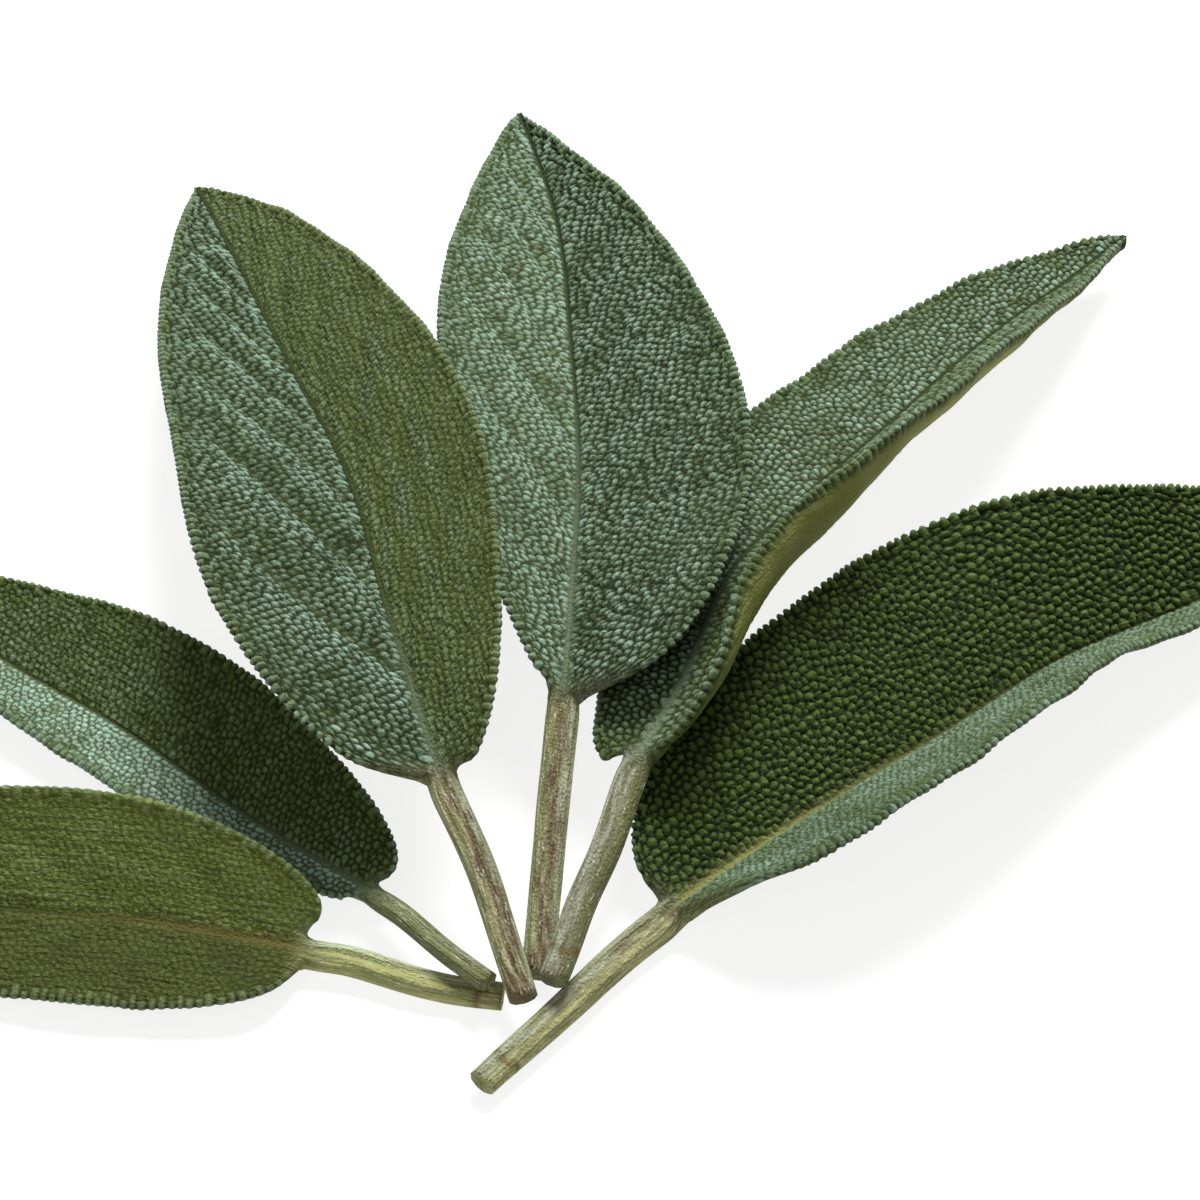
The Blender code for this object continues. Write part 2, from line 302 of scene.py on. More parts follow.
def leaf_surface(leaf):
    """Every point of the smooth leaf, with what the finer work needs to know of it."""
    lengths, scales = lay_out_rings(leaf)
    side, share, turn = lay_out_section(leaf)
    length, side = np.meshgrid(lengths, side, indexing="ij")
    share = np.broadcast_to(share, length.shape)
    turn = np.broadcast_to(turn, length.shape)
    right_half = side > 0

    blade_out, blade_up, over_surface, width = blade_points(
        leaf, length, right_half, share, turn
    )
    stalk_out, stalk_up, from_top = stalk_points(leaf, length, side, share, turn)
    on_blade = smooth_step(length, leaf.foot - FOOT_BLEND, leaf.foot + FOOT_BLEND)
    out = (1 - on_blade) * stalk_out + on_blade * side * blade_out
    up = (1 - on_blade) * stalk_up + on_blade * blade_up
    back = on_blade * leaf.swept_back(length, right_half, over_surface)

    scale = scales[:, None]
    middle = -leaf.midrib_height(length) / 2
    out = out * scale
    up = middle + (up - middle) * scale

    step = 0.05
    place = leaf.line(lengths)
    along = leaf.line(lengths + step) - leaf.line(lengths - step)
    along /= np.linalg.norm(along, axis=1)[:, None]
    right = np.cross(along, (0, 0, 1))
    right /= np.linalg.norm(right, axis=1)[:, None]
    over = np.cross(right, along)
    points = (
        place[:, None] + out[..., None] * right[:, None] + up[..., None] * over[:, None]
        - back[..., None] * along[:, None]
    )
    return {
        "points": points,
        "length": length,
        "scale": np.broadcast_to(scale, length.shape),
        "right_half": right_half,
        "side": side,
        "share": share,
        "turn": turn,
        "from_top": from_top,
        "over_surface": over_surface,
        "width": width,
        "forward": length - back,
        "on_blade": on_blade,
    }


def outward(points):
    """The surface's outward direction at each point of the rings."""
    around = np.roll(points, -1, axis=1) - np.roll(points, 1, axis=1)
    along = np.gradient(points, axis=0)
    normal = np.cross(around, along)
    size = np.linalg.norm(normal, axis=2)
    return normal / np.maximum(size, 1e-9)[..., None]


def with_grain(out, forward, size):
    """Places in the pebbles' own rows, where neighbours are about 1 apart."""
    sine, cosine = math.sin(PEBBLE_LEAN), math.cos(PEBBLE_LEAN)
    return (
        (out * sine + forward * cosine) / size[0],
        (forward * sine - out * cosine) / size[1],
    )


def pebble_middles(leaf, right_half, size, rng):
    """Middles of the pebbles on one half: out from the midrib, and forwards."""
    reach = max(leaf.measures["half_width"])
    corners_out = np.array((0, 0, reach, reach))
    corners_forward = np.array((leaf.foot - 5, leaf.length, leaf.foot - 5, leaf.length))
    u, v = with_grain(corners_out, corners_forward, size)
    u, v = np.meshgrid(
        np.arange(math.floor(u.min()), math.ceil(u.max())),
        np.arange(math.floor(v.min()), math.ceil(v.max())),
    )
    u = u + 0.5 * (v % 2)
    u, v = u.ravel(), v.ravel()
    u = u + rng.uniform(-PEBBLE_JITTER, PEBBLE_JITTER, len(u))
    v = v + rng.uniform(-PEBBLE_JITTER, PEBBLE_JITTER, len(v))
    sine, cosine = math.sin(PEBBLE_LEAN), math.cos(PEBBLE_LEAN)
    out = u * size[0] * sine - v * size[1] * cosine
    forward = u * size[0] * cosine + v * size[1] * sine

    half = np.full(len(out), right_half)
    length = forward
    for _ in range(8):
        length = forward + leaf.swept_back(length, half, out)
    inside = (
        (out > MIDRIB_CLEARANCE) & (out < leaf.half_width(length, half) - EDGE_CLEARANCE)
        & (length > leaf.foot - 1) & (length < leaf.length)
    )
    return out[inside], forward[inside]


def nearest_two(places, wanted):
    """Which place is nearest to each wanted one, how far it is, and the next one."""
    tree = KDTree(len(places))
    for i, (u, v) in enumerate(places):
        tree.insert((u, v, 0.0), i)
    tree.balance()
    found = [tree.find_n((u, v, 0.0), 2) for u, v in wanted]
    which = np.array([pair[0][1] for pair in found])
    distance = np.array([(pair[0][2], pair[1][2]) for pair in found])
    return which, distance[:, 0], distance[:, 1]


def to_edge(leaf, right_half, out, forward):
    """Distance in from the blade's edge, and how far along the edge that is."""
    length = leaf.foot + leaf.blade * (1 - np.cos(np.linspace(0, math.pi, 2600))) / 2
    half = np.full(len(length), right_half)
    edge_out = leaf.half_width(length, half)
    edge_forward = length - leaf.swept_back(length, half, edge_out)
    steps = np.hypot(np.diff(edge_out), np.diff(edge_forward))
    run = np.concatenate(([0.0], np.cumsum(steps)))
    edge = np.stack((edge_out, edge_forward), axis=1)
    which, distance, _ = nearest_two(edge, np.stack((out, forward), axis=1))
    return distance, run[which]


def pebbles(leaf, shape, rng):
    """Height of the pebbling (0 in the creases, 1 on top), each pebble's tone, and how
    nearly each point is on the edge's row."""
    height = np.zeros(shape["length"].shape)
    tone = np.zeros_like(height)
    beaded = np.zeros_like(height)
    for right_half in (False, True):
        size = leaf.measures["pebble_size"][int(right_half)]
        wanted = (shape["right_half"] == right_half) & (shape["on_blade"] > 0.02)
        out, forward = shape["over_surface"][wanted], shape["forward"][wanted]
        middles = with_grain(*pebble_middles(leaf, right_half, size, rng), size)
        here = np.stack(with_grain(out, forward, size), axis=1)
        which, nearest, second = nearest_two(np.stack(middles, axis=1), here)
        from_crease = (second - nearest) / PEBBLE_ROUND

        inwards, run = to_edge(leaf, right_half, out, forward)
        pitch = leaf.measures["edge_bead"]
        sway = 0.12 * np.sin(run * 1.3) + 0.07 * np.sin(run * 3.7 + 1.0)
        number = run / pitch + sway
        bead_length = leaf.measures["bead_length"][int(right_half)]
        bead_length = bead_length * (1 + 0.4 * np.sin(np.round(number) * 2.4))
        bead_length *= 0.5 + 0.5 * smooth_step(shape["length"][wanted] - leaf.foot, 0, 8)
        from_gap = 1 - 2 * np.abs(number - np.round(number))
        from_row = bead_length - inwards
        on_row = from_row > 0
        bead = np.minimum(from_gap, from_row / (0.6 * size[1]))
        from_crease = np.minimum(from_crease, -from_row / (0.45 * size[1]))
        from_crease = np.clip(np.where(on_row, bead, from_crease), 0, 1)
        height[wanted] = 1 - (1 - from_crease)**2
        tones = rng.normal(0.0, 1.0, len(middles[0]) + BEAD_TONES)
        bead_tone = len(middles[0]) + np.round(number).astype(int) % BEAD_TONES
        tone[wanted] = tones[np.where(on_row, bead_tone, which)]
        beaded[wanted] = smooth_step(from_row, -0.3, 0.2)
    return height, tone, beaded


# Heights and widths of the relief, in millimetres.
ROLLED_EDGE_WIDTH = 0.62
EDGE_SWELL_HEIGHT = 0.10
EDGE_SWELL_WIDTH = 0.45
VEIN_WIDTH = 0.48
VEIN_HEIGHT_BELOW = 0.12
QUILT_HEIGHT = 0.8
QUILT_HEIGHT_BELOW = 0.3
QUILT_REACH = 2.0
RIB_VALLEY_DEPTH = 0.12
WAVE_HEIGHT = 0.16
RIPPLE_HEIGHT = 0.07
STREAK_HEIGHT = 0.022
FINE_STREAK_HEIGHT = 0.014
SCAR_WIDTH = 0.28
CUT_BROWNING_REACH = 1.1

# Side veins on each half whose strength is drawn.
VEINS_DRAWN = 40


def detail(leaf, shape, rng):
    """Relief in millimetres outwards, and the shares that the finish is mixed by."""
    measures = leaf.measures
    out = shape["over_surface"]
    from_edge = (1 - shape["share"]) * shape["width"]
    rolled = np.exp(-(from_edge / ROLLED_EDGE_WIDTH)**2)
    rolled = rolled * (shape["turn"] < -0.2) * shape["on_blade"]
    above = np.maximum(smooth_step(shape["turn"], -1.3, -0.1), rolled)
    forward = shape["forward"]
    width = shape["width"]
    on_blade = shape["on_blade"]
    right_half = shape["right_half"]
    t = leaf.along_blade(shape["length"])
    before_tip = smooth_step(leaf.length - shape["length"], 0.1, 1.2)

    height, tone, beaded = pebbles(leaf, shape, rng)
    rib = leaf.midrib_width(shape["length"])
    off_rib = smooth_step(out, 0.04 * rib, 0.04 * rib + 0.25)
    off_foot = 0.35 + 0.65 * smooth_step(shape["length"] - leaf.foot, 0.5, 4.5)
    pebbled = on_blade * off_rib

    number = leaf.side_vein(out, forward, right_half)
    vein_strength = rng.uniform(0.5, 1.0, 2 * VEINS_DRAWN)
    which = np.round(number).astype(int) % VEINS_DRAWN + VEINS_DRAWN * right_half
    to_vein = np.abs(number - np.round(number)) * SIDE_VEIN_PITCH
    strength = by_half(measures["quilting"], right_half) * vein_strength[which]
    fade = smooth_step(out, 0.2, 1.4) * smooth_step(width - out, 0.8, 4.5) * on_blade
    vein = np.exp(-(to_vein / VEIN_WIDTH)**2) * fade
    puff = (0.4 - np.exp(-(to_vein / QUILT_REACH)**2)) * fade
    past_vein = number - np.floor(number)
    # Painted light: the side of each quilted puff between side veins that faces the light
    # gets more down and sheen.
    lit_slope = smooth_step(past_vein, 0.20, 0.85) * smooth_step(0.97 - past_vein, 0, 0.08)
    depth = by_half(measures["pebble_depth"], right_half)

    lamina = out / width
    wave = np.sin(forward * 0.52 + measures["wave_start"] + 1.7 * right_half)
    ripple = np.sin(forward * 1.27 + 2.1 * measures["wave_start"] + 0.6 * right_half)
    waviness = (WAVE_HEIGHT * wave + RIPPLE_HEIGHT * ripple) * lamina**2 * on_blade
    flat_part = np.abs(shape["turn"]) > FLAT_TURN
    upright = np.where(flat_part, np.sign(shape["turn"]), np.sin(shape["turn"]))

    rib_line = np.exp(-(out / (0.17 * rib + 0.06))**2) * on_blade
    rib_valley = np.exp(-(out / (0.15 * rib + 0.20))**2) * on_blade
    edge_swell = EDGE_SWELL_HEIGHT * np.exp(-(from_edge / EDGE_SWELL_WIDTH)**2)
    edge_swell = edge_swell * np.clip(upright, 0, 1)
    relief_above = (
        (depth * (height - 0.6 - 0.4 * rolled) + edge_swell * height) * pebbled * off_foot
        + strength * QUILT_HEIGHT * puff * (1 - rolled) - RIB_VALLEY_DEPTH * rib_valley
    )
    relief_below = -0.15 * depth * (height - 0.6) * pebbled + strength * (
        VEIN_HEIGHT_BELOW * vein - QUILT_HEIGHT_BELOW * puff
    )
    streaks = np.sin(shape["from_top"] * 9 + 0.9 * np.sin(shape["length"] * 0.35))
    finer = np.sin(shape["from_top"] * 23 + 1.3 * np.sin(shape["length"] * 0.9 + 2.0))
    stalk_relief = STREAK_HEIGHT * streaks + FINE_STREAK_HEIGHT * finer
    stalk_relief = stalk_relief * (1 - on_blade)
    relief = above * relief_above + (1 - above) * relief_below + stalk_relief
    relief = relief * np.clip(shape["scale"], 0, 1)**4 + waviness * upright

    scar_wander = 0.22 * np.sin(2 * shape["from_top"] + 1.0)
    from_scar = shape["length"] + scar_wander - measures["scar_at"]
    cut_brown, foot_brown = measures["browning"]
    groove_wander = 0.25 * np.sin(shape["length"] * 0.8 + measures["wave_start"])
    in_groove = np.exp(-((shape["from_top"] + groove_wander - 0.15) / 0.78)**2)
    browning = np.interp(shape["length"], (0, leaf.foot), (cut_brown, foot_brown))
    end_brown = cut_brown * np.exp(-(shape["length"] / CUT_BROWNING_REACH)**2)
    rib_shown, rib_reach = measures["rib_shows"]
    rib_fade = rib_shown * (1 - smooth_step(t, 0.0, rib_reach))
    # Painted highlight: a pale band along the top of the rim, added to the down-and-sheen
    # share.
    edge_shine = np.exp(-((shape["turn"] - 0.55) / 0.55)**2) * (shape["share"] > 0.999)
    # Down and painted sheen: each half's share of the pale down colour stands for its grey
    # down and for painted sheen on halves that face the light. It can start part way along a
    # half, and thins towards the edge.
    down_and_sheen = by_half(measures["down_and_sheen"], right_half)
    down_and_sheen = down_and_sheen * smooth_step(t, -0.01, by_half(measures["down_and_sheen_from"], right_half))
    down_and_sheen = down_and_sheen * (1 + 1.5 * strength * (lit_slope - 0.35) * fade) * (1 - 0.7 * rolled)
    down_and_sheen = down_and_sheen * (1.12 - 0.42 * smooth_step(lamina, 0.55, 1.0))
    # Lengthways stripes of more and less down and painted sheen over the lower part of the
    # blade.
    stripes = np.sin(out * 2.2 + 0.5 * np.sin(forward * 0.3)) * smooth_step(t, 0.05, 0.3)
    down_and_sheen = down_and_sheen + by_half(measures["stripes"], right_half) * stripes * (1 - t) * fade
    down_and_sheen = down_and_sheen * (1 - 0.35 * beaded) + 0.5 * edge_shine * on_blade
    return relief * before_tip, {
        "pebble": above * height * pebbled + (1 - above) * 0.5,
        "tone": tone * pebbled,
        "edge": np.maximum(beaded, rolled) * pebbled,
        "vein": np.clip(vein * strength * 1.3, 0, 1),
        "rib": np.clip(rib_line * rib_fade, 0, 1),
        "stem": 1 - on_blade,
        "right_side": smooth_step(np.sin(shape["from_top"]), -0.15, 0.65),
        "under": 1 - above,
        "down_and_sheen": down_and_sheen,
        # Painted shade: a half that faces away from the light is given more of the darker
        # green and near-black creases, partly the leaf's own darker green.
        "shaded_half": by_half(measures["shaded_green"], right_half),
        "fuzzy": by_half(measures["fuzz"], right_half) + 0.0 * out,
        "cut": np.select([shape["scale"] < 0.75, shape["scale"] < 0.96], [1.0, 0.6], 0.0),
        "scar": np.exp(-(from_scar / SCAR_WIDTH)**2),
        "brown": np.clip(in_groove * browning + end_brown, 0, 1) * (1 - 0.6 * t),
    }


def closed_tube(rings, points_round):
    """A flat grid rolled into a tube, with its seam welded and its ends filled."""
    bm = bmesh.new()
    bmesh.ops.create_grid(bm, x_segments=points_round, y_segments=rings - 1, size=1)
    for vert in bm.verts:
        turn = math.pi * vert.co.x
        vert.co = (math.cos(turn), math.sin(turn), vert.co.y)
    bmesh.ops.remove_doubles(bm, verts=bm.verts[:], dist=1e-4)
    ends = [edge for edge in bm.edges if edge.is_boundary]
    bmesh.ops.holes_fill(bm, edges=ends, sides=0)
    bmesh.ops.recalc_face_normals(bm, faces=bm.faces[:])
    return bm


def shape_leaf(name, measures, seed):
    """The finished mesh of one leaf, with the shares that its finish reads."""
    leaf = Leaf(measures)
    shape = leaf_surface(leaf)
    relief, shares = detail(leaf, shape, np.random.default_rng(seed))
    points = shape["points"] + outward(shape["points"]) * relief[..., None]
    points = (points + STALKS_MEET_AT) * MM
    rings, points_round = relief.shape

    bm = closed_tube(rings, points_round)
    mesh = bpy.data.meshes.new(name)
    bm.to_mesh(mesh)
    bm.free()

    rolled = np.empty(len(mesh.vertices) * 3, np.float32)
    mesh.vertices.foreach_get("co", rolled)
    rolled = rolled.reshape(-1, 3)
    turn = np.arctan2(rolled[:, 1], rolled[:, 0])
    across = np.rint((turn / math.pi + 1) / 2 * points_round).astype(int) % points_round
    ring = np.rint((rolled[:, 2] + 1) / 2 * (rings - 1)).astype(int)
    mesh.vertices.foreach_set("co", points[ring, across].astype(np.float32).ravel())

    for share_name, share in shares.items():
        attribute = mesh.attributes.new(share_name, "FLOAT", "POINT")
        attribute.data.foreach_set("value", share[ring, across].astype(np.float32))

    # The leaf laid straight and flat: out, up and forwards, in units of 0.1 m.
    radius = leaf.midrib_width(shape["length"]) / 2
    blade_out = shape["side"] * shape["over_surface"]
    blade_up = np.sin(shape["turn"]) * BLADE_THICKNESS / 2
    on_blade = shape["on_blade"]
    flat = np.stack((
        on_blade * blade_out + (1 - on_blade) * radius * np.sin(shape["from_top"]),
        on_blade * blade_up + (1 - on_blade) * radius * np.cos(shape["from_top"]),
        shape["forward"],
    ), axis=-1) / 100
    attribute = mesh.attributes.new("laid_flat", "FLOAT_VECTOR", "POINT")
    attribute.data.foreach_set("vector", flat[ring, across].astype(np.float32).ravel())
    mesh.shade_smooth()
    mesh.update()
    return mesh


class Finish:
    """One socket of a material. Sums on it add Math nodes."""

    def __init__(self, tree, socket=None):
        self.tree = tree
        self.socket = socket

    def node(self, kind, settings, values, output=0):
        made = self.tree.nodes.new(kind)
        for name, value in settings.items():
            setattr(made, name, value)
        for name, value in values.items():
            if isinstance(value, Finish):
                self.tree.links.new(value.socket, made.inputs[name])
            else:
                made.inputs[name].default_value = value
        return Finish(self.tree, made.outputs[output])

    def sum(self, operation, first, second=0.0):
        settings = {"operation": operation}
        return self.node("ShaderNodeMath", settings, {0: first, 1: second})

    def __add__(self, other):
        return self.sum("ADD", self, other)

    def __radd__(self, other):
        return self.sum("ADD", other, self)

    def __sub__(self, other):
        return self.sum("SUBTRACT", self, other)

    def __rsub__(self, other):
        return self.sum("SUBTRACT", other, self)

    def __mul__(self, other):
        return self.sum("MULTIPLY", self, other)

    def __rmul__(self, other):
        return self.sum("MULTIPLY", other, self)

    def held(self):
        """Kept between 0 and 1."""
        settings = {"operation": "ADD", "use_clamp": True}
        return self.node("ShaderNodeMath", settings, {0: self, 1: 0.0})

    def between(self, start, end):
        """0 at start, 1 at end, held outside."""
        values = {"Value": self, "From Min": start, "From Max": end}
        return self.node("ShaderNodeMapRange", {}, values)

    def mix(self, first, second):
        """first where this is 0, second where it is 1."""
        values = {0: self, 6: first, 7: second}
        return self.node("ShaderNodeMix", {"data_type": "RGBA"}, values, 2)


def share(tree, name, output=2):
    settings = {"attribute_name": name}
    return Finish(tree).node("ShaderNodeAttribute", settings, {}, output)


def leaf_skin(name, colours):
    """Downy leaf: creases darkened with painted shade, grey-green pebbles with painted sheen
    on their down, paler below, and a striped stalk whose two sides differ in tone, partly
    painted light and shade.
    """
    material = bpy.data.materials.new(name)
    material.use_nodes = True
    tree = material.node_tree
    skin = tree.nodes["Principled BSDF"]
    new = Finish(tree)
    flat = share(tree, "laid_flat", 1)

    def noise(scale, fine, vector=flat):
        values = {"Vector": vector, "Scale": scale, "Detail": fine}
        return new.node("ShaderNodeTexNoise", {}, values)

    def stretched(scale):
        return new.node("ShaderNodeMapping", {}, {"Vector": flat, "Scale": scale})

    # Above: creases darkened with painted shade, greener sides to the pebbles, and crowns
    # paler with down and painted sheen.
    patches = noise(22.0, 2.0).between(0.35, 0.65)
    down = noise(420.0, 3.0)
    wisps = noise(1.0, 3.0, stretched((560.0, 560.0, 420.0)))
    pebble = share(tree, "pebble")
    tone = share(tree, "tone")
    fuzzy = share(tree, "fuzzy")
    vein = share(tree, "vein")
    down_and_sheen = share(tree, "down_and_sheen")
    shaded_half = share(tree, "shaded_half")
    uneven = 1.0 + (patches - 0.5) * 0.6 + tone * 0.22
    # Down with painted sheen, made uneven by patches and wisps.
    down_and_sheen_share = (down_and_sheen * uneven + (wisps - 0.5) * (0.6 + 0.6 * fuzzy)).held()
    crown = pebble.between(0.38, 1.0)
    # Painted shade: shaded halves take the darker green.
    green = (shaded_half + (0.5 - patches) * 0.3).held().mix(colours["green"], colours["shaded_green"])
    cover = 0.20 + 0.80 * crown + 0.45 * fuzzy
    top = (down_and_sheen_share * cover).held().mix(green, colours["down"])
    top = (share(tree, "edge") * 0.4 * crown).held().mix(top, colours["edge"])
    # Painted shade: the creases are near black, darker than their own green, where shade
    # falls between the pebbles.
    shaded_crease = shaded_half.mix(colours["shaded_olive_crease"], colours["shaded_crease"])
    shown = (pebble.between(0.26, 0.82) + fuzzy * 0.50).held()
    above = shown.mix(shaded_crease, top)
    mottle = noise(300.0, 4.0).between(0.38, 0.62)
    above = (fuzzy * 0.55 * (1.0 - mottle)).held().mix(above, colours["mottle"])
    above = (vein * 0.6).mix(above, colours["vein"])

    # Below: smooth and dull, with fine veins lengthways.
    lines = noise(1.0, 3.0, stretched((90.0, 90.0, 9.0))).between(0.40, 0.62)
    below = lines.mix(colours["under"], colours["under_vein"])
    below = (vein * 0.8).mix(below, colours["under_vein"])
    blade = share(tree, "under").mix(above, below)
    blade = share(tree, "rib").mix(blade, colours["rib"])

    # The stalk: pale flecks and darker streaks lengthways, browned along its groove. Its two
    # sides differ in tone, partly its own colour and partly painted light and shade.
    streak = noise(1.0, 4.0, stretched((260.0, 260.0, 24.0))).between(0.36, 0.64)
    fleck = noise(1.0, 2.0, stretched((520.0, 520.0, 150.0))).between(0.60, 0.70)
    blotch = noise(1.0, 4.0, stretched((300.0, 300.0, 55.0))).between(0.40, 0.62)
    stalk = share(tree, "right_side").mix(colours["stalk"], colours["stalk_right"])
    stalk = streak.mix(colours["stalk_shade"], stalk)
    browned = (share(tree, "brown") * 1.35 * (0.20 + 0.80 * blotch)).held()
    stalk = browned.mix(stalk, colours["brown"])
    stalk = (fleck * 0.7).mix(stalk, colours["fleck"])
    stalk = (share(tree, "scar") * 0.8).mix(stalk, colours["scar"])
    cut_face = streak.mix(colours["stalk_shade"], colours["cut"])
    stalk = share(tree, "cut").mix(stalk, cut_face)
    colour = share(tree, "stem").mix(blade, stalk)
    tree.links.new(colour.socket, skin.inputs["Base Color"])

    rough = 0.80 - 0.34 * crown
    tree.links.new(rough.socket, skin.inputs["Roughness"])
    fuzz = down * 0.5 + wisps + 0.4 * streak
    bump = new.node(
        "ShaderNodeBump", {}, {"Height": fuzz, "Strength": 0.9, "Distance": 0.00028}
    )
    tree.links.new(bump.socket, skin.inputs["Normal"])
    skin.inputs["Specular IOR Level"].default_value = 0.24
    skin.inputs["Specular Tint"].default_value = (1.0, 1.0, 0.72, 1.0)
    skin.inputs["Sheen Weight"].default_value = 0.02
    skin.inputs["Sheen Roughness"].default_value = 0.5
    skin.inputs["Sheen Tint"].default_value = (0.80, 0.95, 0.90, 1.0)
    return material


# Colours that most of the leaves share. Each leaf gives its own green, and whatever else
# differs.
SAGE = {
    # Darker green for halves that get painted shade.
    "shaded_green": (0.044, 0.074, 0.015, 1.0),
    # The down's pale grey-green, which also carries the painted sheen.
    "down": (0.300, 0.440, 0.360, 1.0),
    "edge": (0.130, 0.185, 0.075, 1.0),
    # Near-black for creases, their own dark green with painted shade.
    "shaded_crease": (0.005, 0.014, 0.002, 1.0),
    "shaded_olive_crease": (0.024, 0.036, 0.003, 1.0),
    "mottle": (0.044, 0.054, 0.009, 1.0),
    "vein": (0.034, 0.048, 0.012, 1.0),
    "rib": (0.200, 0.260, 0.165, 1.0),
    "under": (0.115, 0.135, 0.028, 1.0),
    "under_vein": (0.165, 0.180, 0.052, 1.0),
    "stalk": (0.500, 0.490, 0.280, 1.0),
    "stalk_right": (0.430, 0.465, 0.330, 1.0),
    "stalk_shade": (0.190, 0.190, 0.075, 1.0),
    "brown": (0.125, 0.075, 0.048, 1.0),
    "fleck": (0.560, 0.550, 0.410, 1.0),
    "scar": (0.120, 0.062, 0.018, 1.0),
    "cut": (0.380, 0.390, 0.160, 1.0),
}


def add_leaf(name, node, measures, colours, seed):
    """One leaf in its place, on the bunch's body and standing for its solid."""
    mesh = shape_leaf(name, measures, seed)
    mesh.materials.append(leaf_skin(name, colours))
    piece = bpy.data.objects.new(name, mesh)
    bpy.context.scene.collection.objects.link(piece)
    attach(piece, "root")
    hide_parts(node)


# The midrib's line runs from the cut to the tip, and "foot" is the point of it where the
# blade starts. Pairs give the left and the right half, looking towards the tip. Angles
# are in degrees, spread evenly from the foot to the tip.
BROAD_LEAF = {
    "line": [(0.3, -0.9, 3.4), (-1.1, 3.6, 4.5), (-3.0, 9.3, 6.5), (-5.6, 15.0, 8.4),
             (-7.7, 21.9, 9.2), (-10.5, 33.3, 9.0), (-12.9, 44.2, 8.2),
             (-17.5, 57.7, 6.4), (-23.8, 76.5, 3.2), (-27.4, 87.0, 1.1)],
    "foot": 3,
    "stalk_width": (2.0, 2.3),
    "half_width": (14.2, 10.7),
    "outline": ((0.4, 0.94), (0.6, 0.74)),
    "foot_bulge": (0.4, 1.8),
    "rise": ((25, 22, 22, 20, 15), (25, 25, 26, 22, 13)),
    "edge_rise": ((25, 22, 22, 20, 15), (25, 25, 26, 22, 13)),
    "pebble_size": ((0.86, 0.50), (0.70, 0.54)),
    "pebble_depth": (0.35, 0.22),
    "fuzz": (0.0, 0.40),
    "edge_bead": 0.70,
    "bead_length": (0.75, 0.80),
    "quilting": (0.8, 0.4),
    "down_and_sheen": (0.60, 0.12),
    "stripes": (0.0, 0.16),
    "down_and_sheen_from": (0.0, 0.0),
    "shaded_green": (0.75, 0.15),
    "rib_shows": (0.45, 0.3),
    "wave_start": 0.4,
    "scar_at": -5.0,
    "browning": (1.0, 0.7),
}
BROWN_ENDED = {
    **SAGE,
    "green": (0.094, 0.120, 0.022, 1.0),
    "edge": (0.175, 0.215, 0.080, 1.0),
    "cut": (0.150, 0.095, 0.045, 1.0),
}
add_leaf("broad_left_leaf", "leaf_left_broad", BROAD_LEAF, BROWN_ENDED, 11)


# ---- The middle leaf -----------------------------------------------------------------
# The longest leaf, straight up the middle. Its left edge lies under the broad leaf and
# its right edge over the curled one. Its stalk is browner than the others.

CENTRE_LEAF = {
    "line": [(1.1, 2.5, 2.1), (1.6, 8.4, 3.3), (2.2, 15.9, 5.6), (2.9, 23.5, 7.5),
             (3.5, 35.1, 7.5), (3.9, 47.7, 6.6), (3.2, 64.6, 4.8), (2.0, 80.9, 2.8),
             (-1.2, 96.5, 1.1)],
    "foot": 3,
    "stalk_width": (2.2, 2.4),
    "half_width": (10.9, 13.7),
    "outline": ((0.85, 0.89), (0.38, 1.02)),
    "foot_bulge": (1.5, 0.8),
    "rise": ((27, 26, 20, 20, 15), (28, 22, 22, 20, 16)),
    "edge_rise": ((27, 26, 20, 20, 15), (28, 22, 22, 20, 16)),
    "pebble_size": ((0.82, 0.54), (0.86, 0.54)),
    "pebble_depth": (0.30, 0.35),
    "fuzz": (0.30, 0.0),
    "edge_bead": 0.72,
    "bead_length": (0.80, 0.80),
    "quilting": (0.5, 0.25),
    "down_and_sheen": (0.78, 0.56),
    "stripes": (0.0, 0.0),
    "down_and_sheen_from": (0.0, 0.0),
    "shaded_green": (0.45, 0.80),
    "rib_shows": (0.45, 0.60),
    "wave_start": 2.2,
    "scar_at": -5.0,
    "browning": (0.9, 0.6),
}
MINTY = {
    **SAGE,
    "green": (0.125, 0.170, 0.060, 1.0),
    "down": (0.295, 0.430, 0.335, 1.0),
    "stalk": (0.350, 0.360, 0.200, 1.0),
    "stalk_right": (0.430, 0.450, 0.320, 1.0),
    "cut": (0.200, 0.170, 0.080, 1.0),
}
add_leaf("centre_leaf", "leaf_centre", CENTRE_LEAF, MINTY, 23)


# ---- The curled leaf -----------------------------------------------------------------
# Right of the middle, its near half rolled up and over so that its underside shows, and
# its far half bent down and back.

